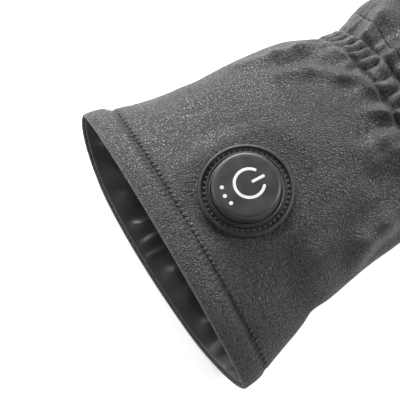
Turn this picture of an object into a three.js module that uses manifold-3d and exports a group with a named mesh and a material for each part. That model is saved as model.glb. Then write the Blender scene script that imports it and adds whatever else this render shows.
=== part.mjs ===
// A heated leather glove for the right hand, lying palm down with its fingers pointing along +Y.
// X runs across the glove with the thumb at -X, Y runs along it and Z is up. Millimetres.
// The origin is on the flat underside, below the middle of the wrist.
import * as THREE from "three";
import { LoftGeometry } from "three/addons/geometries/LoftGeometry.js";
import { mergeVertices } from "three/addons/utils/BufferGeometryUtils.js";
import Module from "manifold-3d";

const wasm = await Module();
wasm.setup();

// Sleeve: the cuff and the body of the hand.
const CUFF_LENGTH = 110.5;
const CUFF_WIDTH = 140;
const WRIST_WIDTH = 92.5;
const WRIST_LEAN = 2.25;
const PALM_LENGTH = 104;
const PALM_WIDTH = 112;
const LYING_HEIGHT = 44;
const FLOOR_PRESS = 1.3;
const SIDE_SHARE = 0.35;

// Walls and clearances.
const LEATHER = 1.5;
const LINING = 0.9;
const LINING_SLACK = 0.9;
const LINING_DEPTH = 50;
const LINING_BACKSET = 1.4;
const PADDED_WALL = 2.8;
const GAP = 0.3;

// The turned hem at the opening.
const HEM_WIDTH = 11.5;
const HEM_SWELL = 0.9;
const STITCH_DIP = 0.7;
const STITCH_DIP_WIDTH = 2.2;
const BACK_EDGE_BOW = 1.5;
const PALM_EDGE_BOW = 8;
const PALM_EDGE_LEAN = 0.25;
const PALM_EDGE_POWER = 1.2;
const EDGE_SKEW = -0.6;

// The elastic sewn across the back of the wrist and the leather that it gathers.
const BAND_WIDTH = 20;
const ELASTIC_Y = 4;
const ELASTIC_WIDTH = 9;
const ELASTIC_DIP = 0.8;
const ELASTIC_STITCH_WIDTH = 1.3;
const GATHERS = 20;
const GATHER_DEPTH = 1.7;
const GATHER_FADE = 2.6;

// Fingers and thumb. Finger lengths count from the webs, the thumb's from its root in the palm.
const FINGER_LENGTH = 88;
const FINGER_WIDTH = 26;
const FINGER_HEIGHT = 25;
const FINGER_ARCH = 4;
const FINGER_ROOT = 22;
const THUMB_ROOT = 7;
const THUMB_ROOT_SIZE = 0.62;
const THUMB_LENGTH = 90;
const THUMB_WIDTH = 31;
const THUMB_HEIGHT = 28;
const THUMB_SEAM_X = -56.5;
const THUMB_SEAM_LEAN = -4;
const SOLE_PRESS = 1.12;
const TIP_LIFT = 0.12;

// The seam between back and palm, and the strips between the fingers.
const SEAM_HEIGHT = 22;
const SEAM_DROP = 0.045;
const FOURCHETTE_WIDTH = 11;
const FOURCHETTE_ROOT = 12;
const FOURCHETTE_TIP = 11;

// The control button sewn on the back of the cuff.
const BUTTON_X = 4;
const BUTTON_TO_EDGE = 40.2;
const SEAT_SINK = 0.9;
const SEAT_MARGIN = 3;
const SEAT_BORDER = 9;
const FLANGE_DIAMETER = 40;
const FLANGE_HEIGHT = 3;
const FLANGE_FLOOR = 0.8;
const FLANGE_EDGE = 0.65;
const BEAD_WIDTH = 2.4;
const GROOVE_WIDTH = 1.6;
const GROOVE_DEPTH = 0.7;
const CAP_DIAMETER = 29;
const CAP_RISE = 6.2;
const CAP_DOME = 0.5;
const CAP_FILLET = 2.6;
const CAP_WALL = 1.8;
const CAP_TRAVEL = 0.8;
const SWITCH_DIAMETER = 17;

// Points around each section and along each piece.
const BACK_COLUMNS = 26;
const PALM_COLUMNS = 10;
const GATHER_COLUMNS = 3;
const HAND_BACK_COLUMNS = 14;
const HAND_PALM_COLUMNS = 8;
const FINGER_COLUMNS = 12;
const BUTTON_COLUMNS = 32;

// Sections of the cuff. at is the share of CUFF_LENGTH from the wrist to the opening. left and right are shares of
// the flare from the wrist to the opening, top and fold are shares of LYING_HEIGHT for the back and for the fold at
// each side, and point is how sharply the two layers meet at that fold.
const CUFF_ROWS = [
  { at: 0.0, left: 0.0, right: 0.0, top: 0.98, fold: 0.48, point: 0.95 },
  { at: 0.04, left: 0.04, right: 0.005, top: 0.985, fold: 0.48, point: 0.96 },
  { at: 0.1, left: 0.149, right: 0.023, top: 1.01, fold: 0.48, point: 0.98 },
  { at: 0.2, left: 0.335, right: 0.103, top: 1.04, fold: 0.48, point: 1.0 },
  { at: 0.36, left: 0.434, right: 0.21, top: 1.05, fold: 0.48, point: 1.08 },
  { at: 0.55, left: 0.478, right: 0.368, top: 1.02, fold: 0.46, point: 1.18 },
  { at: 0.63, left: 0.52, right: 0.395, top: 1.0, fold: 0.45, point: 1.22 },
  { at: 0.68, left: 0.549, right: 0.5, top: 1.0, fold: 0.44, point: 1.25 },
  { at: 0.81, left: 0.666, right: 0.748, top: 1.01, fold: 0.42, point: 1.32 },
  { at: 0.89, left: 0.8, right: 0.89, top: 1.0, fold: 0.4, point: 1.36 },
  { at: 0.93, left: 0.91, right: 0.95, top: 1.0, fold: 0.39, point: 1.38 },
  { at: 1.0, left: 1.0, right: 1.0, top: 1.0, fold: 0.38, point: 1.42 },
];

// The same for the hand, with at as the share of PALM_LENGTH, and left and right as shares of the spread from the
// wrist to the palm.
const PALM_ROWS = [
  { at: 0.0, left: 0.0, right: 0.0, top: 0.98, fold: 0.48, point: 0.95 },
  { at: 0.07, left: 0.19, right: 0.06, top: 1.0, fold: 0.48, point: 0.95 },
  { at: 0.13, left: 0.5, right: 0.2, top: 1.01, fold: 0.48, point: 0.94 },
  { at: 0.2, left: 0.68, right: 0.33, top: 1.0, fold: 0.48, point: 0.93 },
  { at: 0.4, left: 1.0, right: 0.72, top: 0.93, fold: 0.46, point: 0.92 },
  { at: 0.6, left: 1.06, right: 0.99, top: 0.84, fold: 0.42, point: 0.9 },
  { at: 0.8, left: 0.95, right: 1.05, top: 0.73, fold: 0.36, point: 0.88 },
  { at: 1.0, left: 0.78, right: 0.8, top: 0.62, fold: 0.31, point: 0.88 },
];

// Ridges and dents of the back. Each runs from one point to another: fromX and toX are shares of half of
// WRIST_WIDTH, fromY and toY shares of CUFF_LENGTH. wide is a share of CUFF_LENGTH and high of LYING_HEIGHT.
const FOLD_ROWS = [
  { fromX: -1.12, fromY: -0.4, toX: -1.0, toY: -0.13, wide: 0.045, high: 0.035 },
  { fromX: -1.0, fromY: -0.13, toX: -0.74, toY: -0.03, wide: 0.04, high: 0.045 },
  { fromX: -1.03, fromY: -0.36, toX: -0.62, toY: -0.06, wide: 0.05, high: -0.07 },
  { fromX: -0.98, fromY: -0.4, toX: -0.77, toY: -0.2, wide: 0.05, high: 0.03 },
  { fromX: -0.77, fromY: -0.2, toX: -0.4, toY: -0.02, wide: 0.04, high: 0.05 },
  { fromX: -0.46, fromY: -0.1, toX: -0.2, toY: -0.02, wide: 0.04, high: -0.03 },
  { fromX: -0.3, fromY: -0.13, toX: -0.1, toY: -0.01, wide: 0.05, high: 0.03 },
  { fromX: 0.06, fromY: -0.2, toX: 0.08, toY: -0.02, wide: 0.045, high: -0.045 },
  { fromX: 0.32, fromY: -0.28, toX: 0.28, toY: -0.03, wide: 0.06, high: 0.035 },
  { fromX: 0.66, fromY: -0.42, toX: 0.56, toY: -0.2, wide: 0.05, high: -0.025 },
  { fromX: 0.95, fromY: -0.4, toX: 0.72, toY: -0.08, wide: 0.045, high: 0.055 },
  { fromX: 1.12, fromY: -0.34, toX: 0.9, toY: -0.1, wide: 0.04, high: -0.035 },
  { fromX: 1.3, fromY: -0.635, toX: 0.96, toY: -0.6, wide: 0.045, high: -0.085 },
  { fromX: -0.71, fromY: 0.07, toX: -0.95, toY: 0.22, wide: 0.035, high: 0.04 },
  { fromX: -0.35, fromY: 0.08, toX: -0.5, toY: 0.24, wide: 0.035, high: 0.03 },
  { fromX: 0.1, fromY: 0.08, toX: 0.06, toY: 0.22, wide: 0.035, high: 0.025 },
  { fromX: 0.6, fromY: 0.08, toX: 0.66, toY: 0.24, wide: 0.035, high: 0.03 },
];

// Fingers, from the thumb side. x is a share of PALM_WIDTH, lean is in degrees towards the little finger, and
// reach, width and height are shares of the FINGER sizes.
const FINGER_ROWS = [
  { name: "index", x: -0.363, lean: -4, reach: 0.88, width: 1.0, height: 1.0 },
  { name: "middle", x: -0.122, lean: -1, reach: 1.0, width: 1.0, height: 1.02 },
  { name: "ring", x: 0.121, lean: 3, reach: 0.91, width: 0.98, height: 1.0 },
  { name: "little", x: 0.353, lean: 8, reach: 0.7, width: 0.9, height: 0.9 },
];

// The thumb's root, as shares of PALM_WIDTH and PALM_LENGTH, and its lean in degrees.
const THUMB = { x: -0.37, y: 0.27, lean: -36 };

// How a finger or the thumb narrows: at is the share of its length, size the share of its width and height.
const TAPER_ROWS = [
  { at: 0.0, size: 1.0 },
  { at: 0.3, size: 0.99 },
  { at: 0.6, size: 0.94 },
  { at: 0.83, size: 0.88 },
  { at: 0.92, size: 0.77 },
  { at: 0.975, size: 0.55 },
  { at: 1.0, size: 0.24 },
];

// Where the sections lie: in the hem as shares of HEM_WIDTH from the opening's edge, in the rest of the cuff as shares
// of its length from there, and in the hand as shares of PALM_LENGTH. drawn is how far a section is drawn in at the
// webs, as a share of PALM_LENGTH.
const HEM_STEPS = [0, 0.22, 0.52, 0.83, 1, 1.26];
const CUFF_STEPS = [0.25, 0.36, 0.555, 0.63, 0.712, 0.788, 0.865, 0.933, 1];
const HAND_STEPS = [
  { at: 0.173, drawn: 0 },
  { at: 0.231, drawn: 0 },
  { at: 0.317, drawn: 0 },
  { at: 0.442, drawn: 0 },
  { at: 0.596, drawn: 0 },
  { at: 0.75, drawn: 0 },
  { at: 0.885, drawn: 0 },
  { at: 0.971, drawn: 0 },
  { at: 1.005, drawn: 0.015 },
  { at: 1.024, drawn: 0.048 },
];

const smoothstep = THREE.MathUtils.smoothstep;
const lerp = THREE.MathUtils.lerp;
const clamp = THREE.MathUtils.clamp;

// Smooth value of one column of a table whose rows rise in at.
function along(rows, column, at) {
  const last = rows.length - 1;
  if (at <= rows[0].at) return rows[0][column];
  if (at >= rows[last].at) return rows[last][column];
  const k = rows.findIndex((row) => row.at > at) - 1;
  const [a, b] = [rows[k], rows[k + 1]];
  const before = rows[Math.max(k - 1, 0)];
  const after = rows[Math.min(k + 2, last)];
  const span = b.at - a.at;
  const slopeA = ((b[column] - before[column]) / (b.at - before.at)) * span;
  const slopeB = ((after[column] - a[column]) / (after.at - a.at)) * span;
  const t = (at - a.at) / span;
  const rise = t * t * (3 - 2 * t);
  const leave = t * (1 - t) * (1 - t) * slopeA;
  const arrive = t * t * (t - 1) * slopeB;
  return lerp(a[column], b[column], rise) + leave + arrive;
}

// Half widths, heights and fold sharpness of the sleeve at one y.
function sectionAt(y) {
  const inCuff = y < 0;
  const rows = inCuff ? CUFF_ROWS : PALM_ROWS;
  const at = inCuff ? -y / CUFF_LENGTH : y / PALM_LENGTH;
  const spread = ((inCuff ? CUFF_WIDTH : PALM_WIDTH) - WRIST_WIDTH) / 2;
  return {
    mid: -WRIST_LEAN * Math.max(0, 1 - at),
    left: WRIST_WIDTH / 2 + spread * along(rows, "left", at),
    right: WRIST_WIDTH / 2 + spread * along(rows, "right", at),
    top: LYING_HEIGHT * along(rows, "top", at),
    fold: LYING_HEIGHT * along(rows, "fold", at),
    point: along(rows, "point", at),
  };
}

// A point of the sleeve without its folds: turn 0 is the fold at +X, 0.25 the back, 0.5 the fold at -X and 0.75 the
// underside, which lies flat on the ground. inset draws the section in.
function plainPoint(turn, y, inset) {
  const angle = 2 * Math.PI * turn;
  const s = sectionAt(y);
  const half = (Math.cos(angle) > 0 ? s.right : s.left) - inset;
  const lift = Math.pow(Math.abs(Math.sin(angle)), s.point);
  const x = s.mid + half * Math.cos(angle);
  const up = (s.top - inset - s.fold) * lift;
  const down = (s.fold - inset) * Math.min(1, FLOOR_PRESS * lift);
  return new THREE.Vector3(x, y, s.fold + (turn < 0.5 ? up : -down));
}

// The direction out of the plain section.
function plainNormal(turn, y) {
  const step = 0.004;
  const chord = plainPoint(turn + step, y, 0).sub(plainPoint(Math.max(0, turn - step), y, 0));
  return new THREE.Vector3(chord.z, 0, -chord.x).normalize();
}

// How far the folds lift the leather at one point of the back.
function foldHeight(x, y) {
  const half = WRIST_WIDTH / 2;
  let height = 0;
  for (const row of FOLD_ROWS) {
    const from = new THREE.Vector3(row.fromX * half, row.fromY * CUFF_LENGTH, 0);
    const to = new THREE.Vector3(row.toX * half, row.toY * CUFF_LENGTH, 0);
    const here = new THREE.Vector3(x, y, 0);
    const nearest = new THREE.Line3(from, to).closestPointToPoint(here, true, new THREE.Vector3());
    const share = here.distanceTo(nearest) / (row.wide * CUFF_LENGTH);
    height += row.high * LYING_HEIGHT * Math.exp(-share * share);
  }
  return height;
}

// The hem stands proud of the cuff, and its stitches pull the leather in.
function hemHeight(fromEdge) {
  const swell = HEM_SWELL * Math.sin(Math.PI * clamp(fromEdge / HEM_WIDTH, 0, 1));
  const share = (fromEdge - HEM_WIDTH) / STITCH_DIP_WIDTH;
  return swell - STITCH_DIP * Math.exp(-share * share);
}

// Gathers over the elastic: puckers across the back of the wrist that die out on both sides of it.
function gatherHeight(turn, y) {
  const share = turn / 0.5;
  const pucker = Math.abs(Math.sin(Math.PI * GATHERS * share)) - 0.5;
  const offset = Math.abs(y - ELASTIC_Y) - ELASTIC_WIDTH / 2;
  const past = Math.max(0, offset) / GATHER_FADE;
  const stitch = offset / ELASTIC_STITCH_WIDTH;
  const side = Math.sqrt(Math.sin(Math.PI * share));
  const puckers = GATHER_DEPTH * pucker * Math.exp(-past * past);
  return side * (puckers - ELASTIC_DIP * Math.exp(-stitch * stitch));
}

// Where the opening's edge lies for a turn: the underside reaches further out than the back.
function edgeY(turn) {
  const across = Math.cos(2 * Math.PI * turn);
  const high = Math.abs(Math.sin(2 * Math.PI * turn));
  const bow = turn < 0.5 ? BACK_EDGE_BOW * high * high : PALM_EDGE_BOW * high ** PALM_EDGE_POWER * (1 - PALM_EDGE_LEAN * across);
  return -CUFF_LENGTH - bow - EDGE_SKEW * across;
}

// The flat place under the button.
const SEAT_Y = -CUFF_LENGTH - BACK_EDGE_BOW + BUTTON_TO_EDGE;
const SEAT_TURN = Math.acos(BUTTON_X / sectionAt(SEAT_Y).left) / (2 * Math.PI);
const SEAT_CENTRE = plainPoint(SEAT_TURN, SEAT_Y, SEAT_SINK);
const SEAT_NORMAL = seatNormal();

function seatNormal() {
  const step = 3;
  const turnStep = step / (2 * Math.PI * sectionAt(SEAT_Y).left);
  const across = plainPoint(SEAT_TURN - turnStep, SEAT_Y, 0).sub(plainPoint(SEAT_TURN + turnStep, SEAT_Y, 0));
  const ahead = plainPoint(SEAT_TURN, SEAT_Y + step, 0).sub(plainPoint(SEAT_TURN, SEAT_Y - step, 0));
  return across.cross(ahead).normalize();
}

// A point of the folded leather. nominal is the y whose section shapes it, y is where it lies.
function leatherPoint(turn, nominal, y, inset, relief) {
  const point = plainPoint(turn, nominal, inset);
  point.y = y;
  const onBack = turn > 0 && turn < 0.5;
  if (!onBack) return point;
  const outer = plainPoint(turn, nominal, 0);
  const reach = Math.hypot(outer.x - SEAT_CENTRE.x, y - SEAT_CENTRE.y);
  const flatRadius = FLANGE_DIAMETER / 2 + SEAT_MARGIN;
  const seated = 1 - smoothstep(reach, flatRadius, flatRadius + SEAT_BORDER);
  const slope = SEAT_NORMAL.x * (outer.x - SEAT_CENTRE.x) + SEAT_NORMAL.y * (y - SEAT_CENTRE.y);
  const seatHeight = SEAT_CENTRE.z - slope / SEAT_NORMAL.z;
  const side = smoothstep(Math.sin(2 * Math.PI * turn), 0, SIDE_SHARE);
  const lift = side * foldHeight(outer.x, y) + relief;
  point.addScaledVector(plainNormal(turn, nominal), lift * (1 - seated));
  point.z += (seatHeight - outer.z) * seated;
  return point;
}

// Turns of a section, from the fold at +X over the back and round the underside.
function turnsOf(backColumns, palmColumns) {
  const turns = [];
  for (let i = 0; i < backColumns; i++) turns.push((0.5 * i) / backColumns);
  for (let i = 0; i < palmColumns; i++) turns.push(0.5 + (0.5 * i) / palmColumns);
  return turns;
}

// One ring of the cuff at a distance from the opening's edge.
const CUFF_END = ELASTIC_Y - BAND_WIDTH / 2 - GAP / 2;
const CUFF_RUN = CUFF_LENGTH + CUFF_END;
const cuffSteps = [
  ...HEM_STEPS.map((step) => step * HEM_WIDTH),
  ...CUFF_STEPS.map((step) => step * CUFF_RUN),
  LINING_DEPTH,
].toSorted((a, b) => a - b);

function cuffRing(turns, distance, inset, withHem) {
  const share = distance / CUFF_RUN;
  const nominal = lerp(-CUFF_LENGTH, CUFF_END, share);
  return turns.map((turn) => {
    const y = lerp(edgeY(turn), CUFF_END, share);
    const relief = withHem ? hemHeight(y - edgeY(turn)) * Math.sin(2 * Math.PI * turn) : 0;
    return leatherPoint(turn, nominal, y, inset, relief);
  });
}

function geometryAsSolid(geometry) {
  const bare = new THREE.BufferGeometry().copy(geometry);
  bare.deleteAttribute("normal");
  bare.deleteAttribute("uv");
  const merged = mergeVertices(bare, 1e-4);
  const corners = [];
  for (let i = 0; i < merged.index.count; i += 3) {
    const [a, b, c] = merged.index.array.slice(i, i + 3);
    if (a !== b && b !== c && c !== a) corners.push(a, b, c);
  }
  const mesh = new wasm.Mesh({
    numProp: 3,
    vertProperties: new Float32Array(merged.attributes.position.array),
    triVerts: new Uint32Array(corners),
  });
  return new wasm.Manifold(mesh);
}

function solidAsGeometry(solid) {
  const mesh = solid.getMesh();
  const geometry = new THREE.BufferGeometry();
  geometry.setAttribute("position", new THREE.BufferAttribute(mesh.vertProperties, 3));
  geometry.setIndex(new THREE.BufferAttribute(mesh.triVerts, 1));
  return geometry;
}

// A solid through rings, with each end drawn together to one point.
function ringSolid(rings) {
  const together = (ring) => {
    const middle = new THREE.Box3().setFromPoints(ring).getCenter(new THREE.Vector3());
    return ring.map(() => middle);
  };
  return geometryAsSolid(new LoftGeometry([together(rings[0]), ...rings, together(rings[rings.length - 1])]));
}

// A wall between an outer and an inner run of rings, closed at both ends.
function wallGeometry(outerRings, innerRings) {
  const rings = [...outerRings, ...innerRings.toReversed(), outerRings[0]];
  return new LoftGeometry(rings);
}

// The cuff's leather and the lining inside it.
const TURNS = turnsOf(BACK_COLUMNS, PALM_COLUMNS);
const cuffGeometry = wallGeometry(
  cuffSteps.toReversed().map((step) => cuffRing(TURNS, step, 0, true)),
  cuffSteps.toReversed().map((step) => cuffRing(TURNS, step, LEATHER, false)),
);
const liningSteps = [LINING_BACKSET, ...cuffSteps.filter((step) => step > LINING_BACKSET && step <= LINING_DEPTH)];
const liningInset = LEATHER + LINING_SLACK;
const liningGeometry = wallGeometry(
  liningSteps.toReversed().map((step) => cuffRing(TURNS, step, liningInset, false)),
  liningSteps.toReversed().map((step) => cuffRing(TURNS, step, liningInset + LINING, false)),
);

// The wrist: gathered leather over the elastic on the back, plain leather on the palm side.
const bandTurns = turnsOf(GATHERS * GATHER_COLUMNS, PALM_COLUMNS);
const bandEnd = BAND_WIDTH / 2 - GAP / 2;
const stitchLine = ELASTIC_WIDTH / 2;
const pastStitch = stitchLine + ELASTIC_STITCH_WIDTH * 1.3;
const bandOffsets = [bandEnd, pastStitch, stitchLine, 0, -stitchLine, -pastStitch, -bandEnd];
const bandSteps = bandOffsets.map((offset) => ELASTIC_Y + offset);
const bandGeometry = wallGeometry(
  bandSteps.map((y) => bandTurns.map((turn) => leatherPoint(turn, y, y, 0, turn < 0.5 ? gatherHeight(turn, y) : 0))),
  [bandSteps[0], ELASTIC_Y, bandSteps[6]].map((y) => bandTurns.map((turn) => plainPoint(turn, y, PADDED_WALL))),
);

// The hand: palm, fingers and thumb as one padded shell, which is then cut along its seams.
const handTurns = turnsOf(HAND_BACK_COLUMNS, HAND_PALM_COLUMNS);

function palmSolid(inset) {
  const start = inset > 0 ? 0 : ELASTIC_Y + BAND_WIDTH / 2 + GAP / 2;
  const steps = [{ at: start / PALM_LENGTH, drawn: 0 }, ...HAND_STEPS];
  const rings = steps.map((step) => {
    const drawnIn = inset + step.drawn * PALM_LENGTH;
    const y = step.at * PALM_LENGTH - (step.drawn > 0 ? inset : 0);
    return handTurns.map((turn) =>
      inset > 0 ? plainPoint(turn, y, drawnIn) : leatherPoint(turn, y, y, drawnIn, 0),
    );
  });
  return ringSolid(rings.toReversed());
}

// A finger or thumb along its own axis, from its root inside the palm to its tip.
function fingerSolid(size, inset) {
  const lean = THREE.MathUtils.degToRad(size.lean);
  const rows = [{ at: -size.root / size.length, size: size.rootSize }, ...TAPER_ROWS];
  const rings = rows.map((row) => {
    const run = row.at * (row.at > 0.5 ? size.length - inset : size.length);
    const half = (size.width / 2 - inset) * row.size;
    const tall = (size.height / 2 - inset) * row.size;
    const raise = size.arch * Math.sin(Math.PI * clamp(row.at, 0, 1));
    const middle = (size.height / 2) * (TIP_LIFT + (1 - TIP_LIFT) * row.size) + raise;
    const ring = [];
    for (let i = 0; i < FINGER_COLUMNS; i++) {
      const angle = (-2 * Math.PI * i) / FINGER_COLUMNS;
      const sine = Math.sin(angle);
      const across = half * Math.cos(angle);
      const up = tall * (sine < 0 ? -Math.min(1, -SOLE_PRESS * sine) : sine);
      ring.push(
        new THREE.Vector3(
          size.x + across * Math.cos(lean) + run * Math.sin(lean),
          size.y - across * Math.sin(lean) + run * Math.cos(lean),
          middle + up,
        ),
      );
    }
    return ring;
  });
  return ringSolid(rings);
}

const fingers = FINGER_ROWS.map((row) => ({
  name: row.name,
  x: row.x * PALM_WIDTH,
  y: PALM_LENGTH,
  root: FINGER_ROOT,
  rootSize: 1,
  length: row.reach * FINGER_LENGTH,
  width: row.width * FINGER_WIDTH,
  height: row.height * FINGER_HEIGHT,
  arch: FINGER_ARCH,
  lean: row.lean,
}));
const thumb = {
  x: THUMB.x * PALM_WIDTH,
  y: THUMB.y * PALM_LENGTH,
  root: THUMB_ROOT,
  rootSize: THUMB_ROOT_SIZE,
  length: THUMB_LENGTH,
  width: THUMB_WIDTH,
  height: THUMB_HEIGHT,
  arch: FINGER_ARCH,
  lean: THUMB.lean,
};

function handSolid(inset) {
  const digits = [...fingers, thumb].map((size) => fingerSolid(size, inset));
  return digits.reduce((hand, digit) => hand.add(digit), palmSolid(inset));
}

const handShell = handSolid(0).subtract(handSolid(PADDED_WALL));

// Regions that cut the shell along its seams.
const REGION = 600;

function sideRegion(fromX, side) {
  const box = new THREE.BoxGeometry(REGION, REGION, REGION);
  box.translate((side * REGION) / 2, 0, 0);
  box.rotateZ(THREE.MathUtils.degToRad(-THUMB_SEAM_LEAN));
  box.translate(fromX, THUMB.y * PALM_LENGTH, 0);
  return geometryAsSolid(box);
}

function seamRegion(side) {
  const box = new THREE.BoxGeometry(REGION, REGION, REGION);
  box.translate(0, 0, side * (REGION / 2 + GAP / 2));
  box.rotateX(-Math.atan(SEAM_DROP));
  box.translate(0, 0, SEAM_HEIGHT);
  return geometryAsSolid(box);
}

// The lane between two fingers, from inside the palm to short of the tips.
function laneRegion(left, right, grow) {
  const corner = (finger, run) => {
    const lean = THREE.MathUtils.degToRad(finger.lean);
    return new THREE.Vector2(finger.x + run * Math.sin(lean), finger.y + run * Math.cos(lean));
  };
  const outline = new THREE.Shape([
    corner(left, -FOURCHETTE_ROOT - grow),
    corner(right, -FOURCHETTE_ROOT - grow),
    corner(right, right.length - FOURCHETTE_TIP + grow),
    corner(left, left.length - FOURCHETTE_TIP + grow),
  ]);
  const depth = FOURCHETTE_WIDTH + 2 * grow;
  const lane = new THREE.ExtrudeGeometry(outline, { depth, bevelEnabled: false });
  lane.translate(0, 0, -depth / 2);
  lane.rotateX(-Math.atan(SEAM_DROP));
  lane.translate(0, 0, SEAM_HEIGHT);
  return geometryAsSolid(lane);
}

// The largest of the bodies that a cut leaves, without its slivers.
function mainBody(solid) {
  return solid.decompose().toSorted((a, b) => b.volume() - a.volume())[0];
}

const handOnly = handShell.intersect(sideRegion(THUMB_SEAM_X + GAP / 2, 1));
const thumbSolid = handShell.intersect(sideRegion(THUMB_SEAM_X - GAP / 2, -1));
const pairs = [
  [fingers[0], fingers[1]],
  [fingers[1], fingers[2]],
  [fingers[2], fingers[3]],
];
const panels = pairs.reduce((solid, [a, b]) => solid.subtract(laneRegion(a, b, GAP)), handOnly);

// The button: a flange with a bead and a stitched groove, and a hollow cap that sinks over the switch.
function latheUp(profile) {
  const points = profile.map(([radius, height]) => new THREE.Vector2(radius, height));
  const geometry = new THREE.LatheGeometry(points, BUTTON_COLUMNS);
  geometry.rotateX(Math.PI / 2);
  return geometry;
}

const flangeRadius = FLANGE_DIAMETER / 2;
const grooveOuter = flangeRadius - BEAD_WIDTH;
const grooveInner = grooveOuter - GROOVE_WIDTH;
const wellRadius = CAP_DIAMETER / 2 + GAP;
const capTop = FLANGE_HEIGHT + CAP_RISE;
const capFoot = FLANGE_FLOOR + CAP_TRAVEL + GAP;
const switchTop = capTop - CAP_WALL - CAP_DOME - CAP_TRAVEL - GAP;
const flangeProfile = [
  [0, 0],
  [flangeRadius - FLANGE_EDGE, 0],
  [flangeRadius, FLANGE_EDGE],
  [flangeRadius, FLANGE_HEIGHT * 0.6],
  [flangeRadius - BEAD_WIDTH * 0.3, FLANGE_HEIGHT * 0.93],
  [grooveOuter + BEAD_WIDTH * 0.3, FLANGE_HEIGHT * 0.93],
  [grooveOuter, FLANGE_HEIGHT - GROOVE_DEPTH],
  [grooveInner, FLANGE_HEIGHT - GROOVE_DEPTH],
  [grooveInner - GROOVE_DEPTH / 2, FLANGE_HEIGHT],
  [wellRadius, FLANGE_HEIGHT],
  [wellRadius, FLANGE_FLOOR],
  [SWITCH_DIAMETER / 2, FLANGE_FLOOR],
  [SWITCH_DIAMETER / 2, switchTop],
  [0, switchTop],
];
const capRadius = CAP_DIAMETER / 2;
const shoulder = capTop - CAP_DOME;
const capProfile = [
  [0, capTop - CAP_WALL],
  [capRadius - CAP_WALL - CAP_FILLET * 0.5, capTop - CAP_WALL - CAP_DOME],
  [capRadius - CAP_WALL, shoulder - CAP_FILLET],
  [capRadius - CAP_WALL, capFoot],
  [capRadius, capFoot],
  [capRadius, shoulder - CAP_FILLET],
  [capRadius - CAP_FILLET * 0.29, shoulder - CAP_FILLET * 0.29],
  [capRadius - CAP_FILLET, shoulder],
  [capRadius * 0.5, capTop - CAP_DOME * 0.25],
  [0, capTop],
];

const leatherBlack = new THREE.MeshStandardMaterial({ color: 0x2a2a2b, roughness: 0.6, metalness: 0 });
const palmBlack = new THREE.MeshStandardMaterial({ color: 0x232324, roughness: 0.65, metalness: 0 });
const liningBlack = new THREE.MeshStandardMaterial({ color: 0x151516, roughness: 0.4, metalness: 0 });
const rubberBlack = new THREE.MeshStandardMaterial({ color: 0x1c1c1d, roughness: 0.55, metalness: 0 });

function named(name, geometry, material) {
  const mesh = new THREE.Mesh(geometry, material.clone());
  mesh.name = name;
  return mesh;
}

const glove = new THREE.Group();
glove.add(named("cuff", cuffGeometry, leatherBlack));
glove.add(named("cuff_lining", liningGeometry, liningBlack));
glove.add(named("wrist_band", bandGeometry, leatherBlack));
glove.add(named("back_panel", solidAsGeometry(mainBody(panels.intersect(seamRegion(1)))), leatherBlack));
glove.add(named("palm_panel", solidAsGeometry(mainBody(panels.intersect(seamRegion(-1)))), palmBlack));
glove.add(named("thumb", solidAsGeometry(thumbSolid), leatherBlack));
for (const [a, b] of pairs) {
  const strip = handOnly.intersect(laneRegion(a, b, 0));
  glove.add(named(`fourchette_${a.name}_${b.name}`, solidAsGeometry(mainBody(strip)), palmBlack));
}

const button = new THREE.Group();
button.position.copy(SEAT_CENTRE).addScaledVector(SEAT_NORMAL, GAP);
button.quaternion.setFromUnitVectors(new THREE.Vector3(0, 0, 1), SEAT_NORMAL);
button.add(named("button_flange", latheUp(flangeProfile), rubberBlack));
button.add(named("button_cap", latheUp(capProfile), rubberBlack));
glove.add(button);

export default glove;
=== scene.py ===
import math

import bmesh
import bpy
import numpy as np
from mathutils import Matrix, Vector, noise


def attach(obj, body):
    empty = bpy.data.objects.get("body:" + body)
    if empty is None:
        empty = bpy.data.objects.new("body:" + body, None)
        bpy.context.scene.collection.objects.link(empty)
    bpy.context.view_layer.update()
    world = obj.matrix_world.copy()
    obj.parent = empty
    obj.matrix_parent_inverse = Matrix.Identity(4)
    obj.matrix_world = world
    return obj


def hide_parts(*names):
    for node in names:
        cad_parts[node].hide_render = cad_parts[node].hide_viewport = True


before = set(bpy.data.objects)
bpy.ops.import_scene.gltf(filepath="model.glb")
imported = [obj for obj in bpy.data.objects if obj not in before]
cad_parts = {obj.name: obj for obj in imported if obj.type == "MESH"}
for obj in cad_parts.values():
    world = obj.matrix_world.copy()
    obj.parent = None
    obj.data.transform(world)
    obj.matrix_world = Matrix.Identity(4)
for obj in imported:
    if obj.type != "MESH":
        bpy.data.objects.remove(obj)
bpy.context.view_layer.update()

# The cuff's leather: one sleeve of thin pebbled cowhide from the opening to just past the wrist, laid on
# its palm side, so that it sags into a flat oval. Its edge is turned in and stitched, and elastic inside
# gathers it across the back of the wrist, where soft folds start. Sizes are in millimetres.
MM = 0.001
CUFF_LENGTH = 110.5
CUFF_WIDTH = 140
WRIST_WIDTH = 92.5
WRIST_LEAN = 2.25
PALM_LENGTH = 104
PALM_WIDTH = 112
LYING_HEIGHT = 44
FLOOR_PRESS = 1.3
SIDE_SHARE = 0.35
LEATHER = 1.6
HEM_WIDTH = 11.5
HEM_SWELL = 0.9
STITCH_DIP = 1.0
BACK_EDGE_BOW = 1.5
PALM_EDGE_BOW = 8
PALM_EDGE_LEAN = 0.25
PALM_EDGE_POWER = 1.2
EDGE_SKEW = -0.6
ELASTIC_Y = 4
ELASTIC_WIDTH = 9
ELASTIC_BOW = 6
SLEEVE_END = 14
JOIN_DIP = 0.3
JOIN_WIDTH = 0.9
GATHERS = 21
GATHER_WANDER = 0.007
PUCKER_HEIGHT = 3.9
PUCKER_POWER = 0.6
PUCKER_LEVEL = 0.62
ELASTIC_STITCH_DIP = 1.5
PLEAT_HEIGHT_HAND = 1.1
PLEAT_HEIGHT_CUFF = 0.8
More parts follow.
